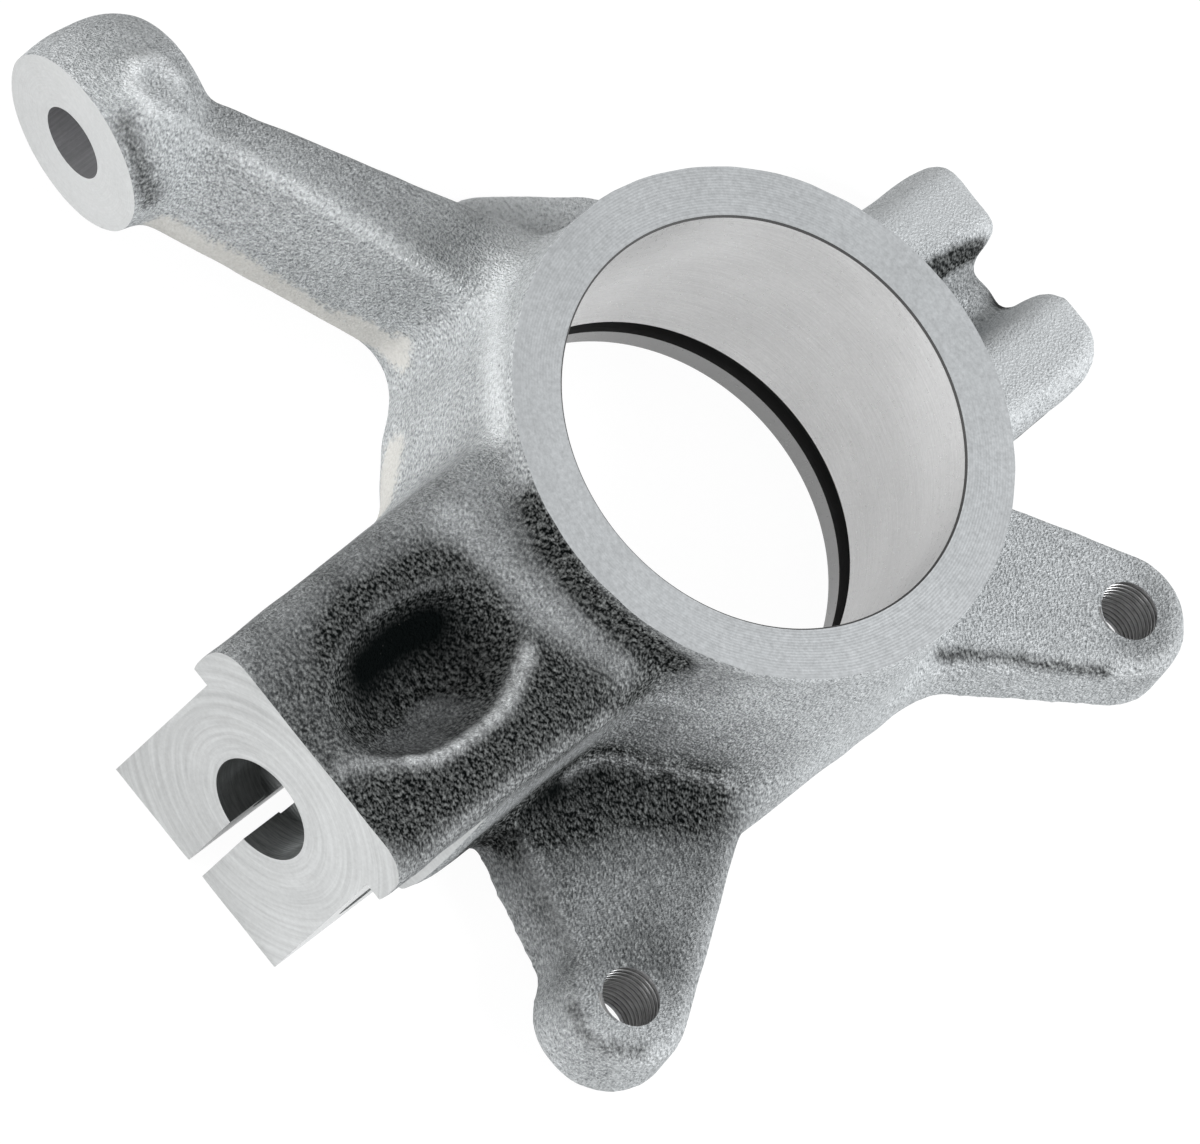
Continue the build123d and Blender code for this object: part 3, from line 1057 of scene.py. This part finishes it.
    def faces(self) -> list[Hole | Slab]:
        """Every flat cut and the circlip groove, each with a cutter wider than its face."""
        room, far = self.reach, 40.0
        front, back, seat, pad = self.wide
        left, right = self.sides()
        half = self.clamp_width / 2
        axis = self.boss_axis()
        seat_start = tuple(Vector(self.boss) + axis * self.boss_length)
        groove_start = (0, 0, self.lip_width)
        ring_front = Hole.straight((0, 0, self.ring_depth + room), INWARD, front, room, Zone.TURNED, 128)
        ring_back = Hole.straight((0, 0, -room), AXIS_Z, back, room, Zone.TURNED, 128)
        boss_start = tuple(Vector(self.boss) - axis * room)
        boss_face = Hole.straight(boss_start, tuple(axis), seat, room, Zone.FACED)
        nut_seat = Hole.straight(seat_start, tuple(axis), *self.nut_seat, Zone.FACED)
        groove = Hole.straight(
            groove_start, AXIS_Z, self.groove_radius, self.groove_width, Zone.GROOVE_SHADE, 192
        )
        below = self.clamp_y - room
        foot = Slab((-far, below, -far), (far, self.clamp_y, 2 * far), Zone.MILLED)
        slit = Slab(
            (self.clamp_x - self.slit_width / 2, below, -room),
            (self.clamp_x + self.slit_width / 2, self.clamp_y + self.slit_length, self.stud_height),
            Zone.FLAT,
        )
        end = self.clamp_y + self.flat_rise
        flats = [
            Slab((low, below, -room), (high, end, self.flat_depth), Zone.FLAT, self.flat_corner)
            for low, high in ((left - half, left), (right, right + half))
        ]
        pads = [
            Hole.straight((self.ear_x, y, -room), AXIS_Z, pad, room, Zone.FLAT) for y in self.ear_ys
        ]
        return [ring_front, foot, *flats, boss_face, ring_back, *pads, nut_seat, groove, slit]

    def plugs(self) -> tuple[Hole, ...]:
        """Fillings of every hole, which reach a little into the stock where a face has it."""
        left, _ = self.sides()
        wall, proud, short = self.wall, self.proud, self.short
        axis = self.boss_axis()
        rows = [
            ((0, 0, -1.0), AXIS_Z, 41.5, self.ring_depth + 3.0),
            (
                (self.clamp_x, self.clamp_y - proud, self.stud_height),
                AXIS_Y,
                self.stud_radius + wall,
                self.stud_depth + 2.4,
            ),
            (
                (left - 1.6, self.clamp_y + self.pinch_rise, self.pinch_height),
                AXIS_X,
                self.pinch_radius + wall,
                self.clamp_width + 3.2,
            ),
            (
                tuple(Vector(self.boss) - axis * proud),
                tuple(axis),
                self.boss_hole + wall,
                self.boss_length + proud,
            ),
        ]
        rows += [((self.ear_x, y, short), AXIS_Z, 7.6, self.ear_front - short) for y in self.ear_ys]
        edge = self.tongue_x - self.tongue_width / 2 + short
        filled = self.strut_radius + 0.6
        rows += [
            ((edge, y, self.strut_height), AXIS_X, filled, self.tongue_width - 2 * short)
            for y in self.strut_ys
        ]
        return tuple(Hole.straight(*row, Zone.CAST) for row in rows)

    def skin(self) -> Skin:
        """Rough casting with its stock, plugs and marks."""
        left, right = self.sides()
        planes = (
            Plane((0, 0, self.ring_depth), AXIS_Z),
            Plane((0, self.clamp_y, 0), (0, -1, 0)),
            Plane(self.boss, tuple(-self.boss_axis())),
            Plane((left, 0, 0), (-1, 0, 0)),
            Plane((right, 0, 0), AXIS_X),
        )
        slit = Slab(
            (self.clamp_x - 4, self.clamp_y - self.proud, 2 * self.short),
            (self.clamp_x + 4, self.clamp_y + self.slit_length + 2, self.stud_height),
            Zone.CAST,
        )
        return Skin(planes=planes, plugs=self.plugs(), blocks=(slit,), marks=self.marks())

    def marks(self) -> tuple[Mark, ...]:
        """Places on the skin that are trimmed, rubbed, raised or darker; the rubbed ones are painted
        highlights and most darker ones painted shade.
        """
        front = self.arm_front
        low = self.steer_front
        rim = [
            (self.rim_radius * math.cos(turn), self.rim_radius * math.sin(turn), self.rim_height)
            for turn in map(math.radians, range(0, 370, 10))
        ]
        trimmed = (
            Mark(
                ((-86.4, -47.1, 21), (-69.9, -35.1, 17), (-55.6, -25.5, 12), (-46.1, -20.9, 14)),
                3.1, bare=1,
            ),
            Mark(((-57.4, -26.1, 16), (-50.9, -22, 15)), 2.4, bare=0.8),
            Mark(
                ((-55.2, -25, 14.7), (-51.7, -22.6, 13.4), (-47.8, -20.7, 12.3), (-48, -20.4, 16.8)),
                3, bare=0.85,
            ),
            Mark(((-29.9, -39.8, 8), (-31.8, -36.1, 10), (-34.2, -33.4, 12)), 4, bare=1),
        )
        # Besides their small relief, the rubs here are painted highlights: the steering arm's ridge, the
        # boss's curl, the ring's left band, the hollow's rim and the arm's edges. The tongue's lobes and
        # the rear web are made lighter as painted light.
        raised = (
            Mark(tuple(rim), 1.8, 0.8),
            Mark(
                ((-98.2, -45.2, 40.5), (-89.5, -37.9, 37.3), (-71.4, -29.1, 37), (-47.9, -19, 35.8)),
                1.2, 0.4, rub_and_highlight=0.4,
            ),
            Mark(((-101.3, -47.1, 41), (-106.1, -47.4, 41.4), (-107.6, -44.3, 41.5)), 1.4, 1.3, rub_and_highlight=0.9),
            Mark(((-107.6, -44.3, 41.5), (-107.1, -41, 41.5), (-102.3, -39.9, 41.4)), 1.4, 1.2, rub_and_highlight=0.8),
            Mark(((-101.3, -47.1, 41.2), (-98.2, -45.2, 40.5)), 1.4, 0.7, rub_and_highlight=0.6),
            Mark(((-104, -43.5, 41.8),), 1.5, -0.6),
            Mark(
                ((-48.9, -4.1, 37), (-43.4, -14.8, 39), (-36.2, -26.9, 44), (-25, -37, 47.5)),
                3.6, rub_and_highlight=0.85,
            ),
            Mark(((2.8, -102.6, front), (8.5, -91.5, front)), 1.4, 0.4, rub_and_highlight=0.4),
            Mark(
                ((8.5, -91.5, front), (10.9, -86.9, front), (11, -72, front), (6, -60.7, front)),
                1.4, 0.45, rub_and_highlight=0.85,
            ),
            Mark(
                ((22.7, -105, 43), (21.7, -92, 45.7), (21.5, -73, 45.6), (22.1, -56, 43.9)),
                1.4, 0.5, rub_and_highlight=0.12,
            ),
            Mark(((22.1, -56, 43.9), (24.6, -39.1, 36.9), (27, -35, 36)), 1.6, 0.7, rub_and_highlight=0.2),
            Mark(
                (
                    (23.7, -48.6, 15.5), (25.4, -42.6, 17), (29.5, -38.2, 18),
                    (34, -33.8, 18.4), (41.7, -25.5, 17.2),
                ),
                1.2, 0.7, rub_and_highlight=0.4,
            ),
            Mark(((2.8, 78, 7), (2.8, 82, 4)), 4.5, 2.2),
            Mark(((-14, 66, 20), (-12, 84, 18)), 9, rub_and_highlight=0.05, scale=-1),
            Mark(((14, 60, 20), (14, 82, 18)), 9.5, rub_and_highlight=0.1, scale=-1),
            Mark(((-57.5, 13, 10), (-50.1, 24.2, 10)), 7, rub_and_highlight=0.9),
        )
        # Mostly painted shade: corners at the ears' roots and the ring's foot, creases on the ears, the
        # hollow's shaded side, the sides of the tongue's valley, under the ring's edge, beside the boss
        # and along the steering arm's front. Below zero: painted light on the rear web and on the
        # hollow's lit side; the band along the ring's foot is only made lighter. The lower arm's front
        # and right side and a few small spots are only made darker.
        dark = (
            Mark(((-92, -31, low), (-54, -13, low)), 9, scale=0.36),
            Mark(((-54.1, -9, 37.5), (-54.7, 0, 30), (-54.7, 13.9, 12)), 9, scale=-0.5),
            Mark(((-6, -114, front), (-4, -62, front)), 26, scale=0.8),
            Mark(((16, -108, front), (18, -58, front), (22, -46, 44)), 11, scale=0.75),
            Mark(
                ((-18, -55.9, front), (5.9, -52.7, front), (17.6, -49.1, front)),
                3.5, scale=-0.3, rub_and_highlight=0.15,
            ),
            Mark(((3.7, -77.2, 39), (4.7, -86.6, 41)), 6, scale=-0.45),
            Mark(((-8.2, -83, 41), (-7.9, -75, 41.6), (-7, -69, 42.6)), 8.2, scale=2.35),
            Mark(
                (
                    (-101.2, -52.6, 39.5), (-97.7, -52.6, 38.2),
                    (-93.9, -52.6, 35.4), (-90.1, -51.6, 30.8),
                ),
                2.4, scale=0.75,
            ),
            Mark(((-6.6, -80, 39.8), (-6.2, -69, 41.2)), 10, scale=0.2),
            Mark(((26.5, -52, 14.5), (29.4, -42.1, 14.5), (38.7, -31, 14.7)), 5.5, scale=0.85),
            Mark(((27.5, -53, 14.5), (32.4, -42.1, 14.5), (40.7, -32, 14.7)), 14, scale=0.42),
            Mark(((36, -58, 14.5), (48, -45, 14.5)), 25, scale=0.45),
            Mark(((38, -68, 14.5), (50, -73, 14.5)), 5, scale=0.3),
            Mark(
                ((55, -74.6, 13.6), (58, -75.6, 13.4), (62.5, -75, 13.5), (67.3, -70.2, 14.3)),
                1.6, -0.4, scale=0.7,
            ),
            Mark(((54, -62, 14.5), (57, -56, 14.5)), 7, scale=0.4),
            Mark(((24.9, -58.7, 14.2), (24.7, -49.6, 14.5), (26.7, -42.1, 15.1)), 1.3, -0.7, scale=0.6),
            Mark(((26.7, -42.1, 15.1), (32, -35.9, 16.8), (39.1, -28.4, 16.5)), 1.2, -0.6, scale=0.4),
            Mark(((-4.5, 66, 19), (-3.9, 74.4, 18.5), (-3.1, 80, 17)), 2.5, -0.4, scale=2.2),
            Mark(((-2, 66, 13), (-1, 82, 12)), 3, scale=0.5),
            Mark(((5.4, 76, 5), (6.3, 79.1, 7.5), (7.1, 81, 11)), 2.6, -0.3, scale=2.4),
            Mark(((61.5, 66.5, 14.5), (65.1, 59.4, 14.5)), 8, scale=0.42),
            Mark(((-23.7, -102, 46), (-18, -100.5, 47)), 8, scale=0.14),
            Mark(((24.6, -70, 12), (24.4, -61.4, 12), (24.3, -52, 16)), 4.5, scale=0.8),
            Mark(((46, 24.8, 14.5), (53, 34.2, 14.2), (64.7, 48.3, 13.2)), 1.4, -0.35, scale=0.95),
            Mark(((-12.6, -43, 50.5), (7.3, -45.1, 49.2), (22, -39.5, 48)), 2.6, scale=0.75),
        )
        return (*trimmed, *raised, *dark)

    def give_slots(self, mesh: bpy.types.Mesh) -> None:
        """Gives a mesh one material slot for each zone, in the zones' order."""
        mesh.materials.clear()
        for zone in ZONES:
            mesh.materials.append(bpy.data.materials[zone.value])

    def cut(self, body: bpy.types.Object, cutter: bpy.types.Object) -> None:
        """Takes one cutter out of the body, whose new faces keep the cutter's finish."""
        modifier = body.modifiers.new("cut", "BOOLEAN")
        modifier.operation = "DIFFERENCE"
        modifier.solver = "MANIFOLD"
        modifier.object = cutter
        settle(body)
        drop(cutter)

    def build(self, source: bpy.types.Object) -> list[bpy.types.Object]:
        """Makes the dressed casting and its threads.

        Args:
            source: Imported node.

        Returns:
            The new pieces.
        """
        body = self.skin().build(source)
        body.name = "cast_knuckle"
        self.give_slots(body.data)
        tree = KDTree(len(body.data.vertices))
        for vertex in body.data.vertices:
            tree.insert(vertex.co, vertex.index)
        tree.balance()
        stored = body.data.attributes
        measures = {name: [item.value for item in stored[name].data] for name in MEASURES}
        for part in (*self.faces(), *self.holes()):
            cutter = part.cutter()
            slot = ZONES.index(part.zone)
            self.give_slots(cutter.data)
            for polygon in cutter.data.polygons:
                polygon.material_index = slot
            self.cut(body, cutter)
        self.dress(body, tree, measures)
        threads = Threads(tuple((self.ear_x, y, 0.15) for y in self.ear_ys))
        return [body, threads.build(bpy.data.materials["thread_flank"])]

    def dress(self, body: bpy.types.Object, tree: KDTree, measures: dict[str, list[float]]) -> None:
        """Puts the finish measures back and sets which edges are sharp.

        Args:
            body: Machined casting.
            tree: Points of the rough skin.
            measures: Finish measures of those points.
        """
        mesh = body.data
        nearest = [tree.find(vertex.co)[1] for vertex in mesh.vertices]
        for name, values in measures.items():
            if name in mesh.attributes:
                mesh.attributes.remove(mesh.attributes[name])
            store = mesh.attributes.new(name, "FLOAT", "POINT")
            store.data.foreach_set("value", [values[index] for index in nearest])
        mesh.shade_smooth()
        shape = bmesh.new()
        shape.from_mesh(mesh)
        for edge in shape.edges:
            pair = edge.link_faces
            if len(pair) == 2:
                bend = edge.calc_face_angle(0.0)
                crossing = pair[0].material_index != pair[1].material_index
                machined = pair[0].material_index > 0 and pair[1].material_index > 0
                edge.smooth = not ((crossing and bend > SEAM_BEND) or (machined and bend > SHARP_BEND))
        shape.to_mesh(mesh)
        shape.free()


@dataclass
class Studio:
    """Camera, floor and light.

    Attributes:
        right: Direction of the picture's right in the object's frame.
        up: Direction of the picture's top.
        anchor: Point in millimetres whose place in the picture is known.
        anchor_pixel: That place.
        picture: Width and height of the picture in pixels.
        pixels_per_mm: Scale of the picture.
        lens: Focal length in millimetres, long for a nearly flat view.
        ambient: Strength of the white surroundings as light.
        glow: Strength of the floor's own light.
        shown: Share of that light in what the camera, a mirror and a glass would see.
        lamp_distance: Distance of every lamp from the object in metres.
    """

    right: Point = (0.626, 0.660, 0.416)
    up: Point = (-0.780, 0.502, 0.376)
    anchor: Point = (0.0, 0.0, 52.8)
    anchor_pixel: tuple[float, float] = (764.9, 421.8)
    picture: tuple[int, int] = (1200, 1144)
    pixels_per_mm: float = 6.172
    lens: float = 800.0
    ambient: float = 0.42
    glow: float = 1.06
    shown: Point = (0.9, 0.6, 0.9)
    lamp_distance: float = 0.9

    def frame(self) -> tuple[Vector, Vector, Vector]:
        """Right, up and towards-the-viewer directions, square to each other."""
        right = Vector(self.right).normalized()
        up = Vector(self.up)
        up = (up - right * up.dot(right)).normalized()
        return right, up, right.cross(up)

    def place(self, x: float, y: float, z: float) -> Vector:
        """Direction in the object's frame of one that is given in picture axes."""
        right, up, back = self.frame()
        return right * x + up * y + back * z

    def build(self, floor_height: float) -> bpy.types.Object:
        """Makes the camera, the lamps and the floor.

        Args:
            floor_height: Height of the floor in metres.

        Returns:
            The floor.
        """
        bpy.context.scene.view_settings.view_transform = "Standard"
        self.camera()
        self.lamps()
        self.world()
        return self.floor(floor_height)

    def target(self) -> Vector:
        """Point of the object's frame in the middle of the picture."""
        right, up, _ = self.frame()
        across, down = (
            (size / 2 - pixel) / self.pixels_per_mm
            for size, pixel in zip(self.picture, self.anchor_pixel)
        )
        return (Vector(self.anchor) + right * across - up * down) * MM

    def camera(self) -> None:
        """Long-lens camera at the photograph's viewing angle."""
        data = bpy.data.cameras.new("studio_camera")
        data.lens = self.lens
        data.clip_start = 0.05
        data.clip_end = 60.0
        width = self.picture[0] / self.pixels_per_mm * MM
        distance = width * self.lens / data.sensor_width
        right, up, back = self.frame()
        turn = Matrix((right, up, back)).transposed().to_4x4()
        turn.translation = self.target() + back * distance
        camera = stand("studio_camera", data)
        camera.matrix_world = turn
        bpy.context.scene.camera = camera

    def lamp(self, name: str, toward: Point, size: float, power: float, tint: Point) -> None:
        """Square soft lamp that looks at the object.

        Args:
            name: Name of the lamp.
            toward: Direction of the lamp in picture axes.
            size: Side of the lamp in metres.
            power: Power in watts.
            tint: Colour of the light.
        """
        data = bpy.data.lights.new(name, "AREA")
        data.size = size
        data.energy = power
        data.color = tint
        lamp = stand(name, data)
        way = self.place(*toward).normalized()
        lamp.location = self.target() + way * self.lamp_distance
        lamp.rotation_euler = way.to_track_quat("Z", "Y").to_euler()

    def lamps(self) -> None:
        """Key from the left, a second from the near side and one from the right."""
        white = (1.0, 1.0, 1.0)
        self.lamp("key_lamp", (-0.9, 0.35, 0.45), 0.4, 6.0, white)
        self.lamp("near_lamp", (-0.6, -0.3, 0.7), 0.5, 4.2, white)
        self.lamp("side_lamp", (0.92, -0.1, 0.32), 0.4, 8.6, (0.98, 0.99, 1.0))

    def world(self) -> None:
        """White surroundings, brighter for the camera and reflections than as light."""
        world = bpy.data.worlds.new("studio_world")
        world.use_nodes = True
        bpy.context.scene.world = world
        nodes, links = world.node_tree.nodes, world.node_tree.links
        nodes.clear()
        path = nodes.new("ShaderNodeLightPath")
        seen = path.outputs["Is Camera Ray"]
        for kind in ("Is Glossy Ray", "Is Transmission Ray"):
            either = nodes.new("ShaderNodeMath")
            either.operation = "MAXIMUM"
            links.new(seen, either.inputs[0])
            links.new(path.outputs[kind], either.inputs[1])
            seen = either.outputs[0]
        strength = nodes.new("ShaderNodeMapRange")
        strength.inputs["To Min"].default_value = self.ambient
        strength.inputs["To Max"].default_value = 1.0
        links.new(seen, strength.inputs["Value"])
        ground = nodes.new("ShaderNodeBackground")
        links.new(strength.outputs["Result"], ground.inputs["Strength"])
        outlet = nodes.new("ShaderNodeOutputWorld")
        links.new(ground.outputs["Background"], outlet.inputs["Surface"])

    def floor(self, height: float) -> bpy.types.Object:
        """Pale floor that glows white to the camera and keeps a part of the shadow."""
        s = Shader("studio_floor")
        diffuse = s.add("ShaderNodeBsdfDiffuse", {}, (0.86, 0.86, 0.86, 1.0))
        glow = s.add("ShaderNodeEmission", {}, (1.0, 1.0, 1.0, 1.0), self.glow)
        seen, mirrored, through = (
            s.add("ShaderNodeLightPath", {}, output=f"Is {ray} Ray") * part
            for ray, part in zip(("Camera", "Glossy", "Transmission"), self.shown)
        )
        share = (seen + mirrored + through).clamp()
        s.close(s.add("ShaderNodeMixShader", {}, share, diffuse, glow))
        shape = bmesh.new()
        bmesh.ops.create_grid(shape, x_segments=1, y_segments=1, size=4.0)
        mesh = bpy.data.meshes.new("studio_floor")
        shape.to_mesh(mesh)
        shape.free()
        mesh.transform(Matrix.Translation((0, 0, height)))
        mesh.materials.append(s.material)
        return stand("studio_floor", mesh)


def finishes() -> None:
    """Makes every material of the knuckle."""
    knuckle = Knuckle()
    stud = tuple(v * MM for v in (knuckle.clamp_x, knuckle.clamp_y, knuckle.stud_height))
    boss = tuple(v * MM for v in knuckle.boss)
    lip = knuckle.lip_width * MM
    CastSkin().material()
    rings = {"centre": stud, "along": 1}
    walls = {"roughness": 0.34, "lay": Lay.ALONG}
    turned = {"roughness": 0.5, "pitch": 0.5 * MM, "swirl": 0.12, "mottle": 0.4}
    honed = {"roughness": 0.3, "lay": Lay.ALONG, "pitch": 0.35 * MM, "swirl": 0.28, "lip": lip}
    tools = (
        ToolFinish(Zone.TURNED, (0.45, 0.465, 0.475), **turned),
        ToolFinish(Zone.HONED, (0.76,) * 3, **honed),
        # Near black: painted shade in the groove and at the bore's mouth.
        ToolFinish(Zone.GROOVE_SHADE, (0.05,) * 3, roughness=0.6, metallic=0.3),
        ToolFinish(Zone.MILLED, (0.54, 0.55, 0.55), pitch=1.1 * MM, swirl=0.5, **rings),
        ToolFinish(Zone.FLAT, (0.60, 0.61, 0.61), lay=Lay.ALONG, pitch=0.8 * MM, swirl=0.2),
        ToolFinish(Zone.FACED, (0.61, 0.62, 0.62), centre=boss, along=1),
        # Drilled walls a little darker, partly painted shade; stud and pinch hole walls much darker,
        # painted shade inside those holes.
        ToolFinish(Zone.DRILLED, (0.44, 0.44, 0.45), along=0, swirl=0.6, **walls),
        ToolFinish(Zone.STUD, (0.25, 0.26, 0.26), swirl=1.2, **walls, **rings),
    )
    for tool in tools:
        tool.material()
    s = Shader("thread_flank")
    # Dark flanks with random grime; their darkness is partly painted shade inside the tapped holes.
    grime_and_shade = s.noise(1.5 * MM, detail=3.0)
    s.finish(s.mix(grime_and_shade, (0.13,) * 3, (0.42,) * 3), grime_and_shade * 0.2 + 0.22, 0.85, None)


def main() -> None:
    """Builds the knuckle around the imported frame, then the studio."""
    logging.basicConfig(level=logging.INFO, format="%(name)s: %(message)s")
    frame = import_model()
    finishes()
    pieces = Knuckle().build(frame["nodes"][NODE])
    for piece in pieces:
        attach(piece, "root")
        LOG.info("%s: %d faces", piece.name, len(piece.data.polygons))
    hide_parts(NODE)
    Studio().build(0.0)


if __name__ == "__main__":
    main()
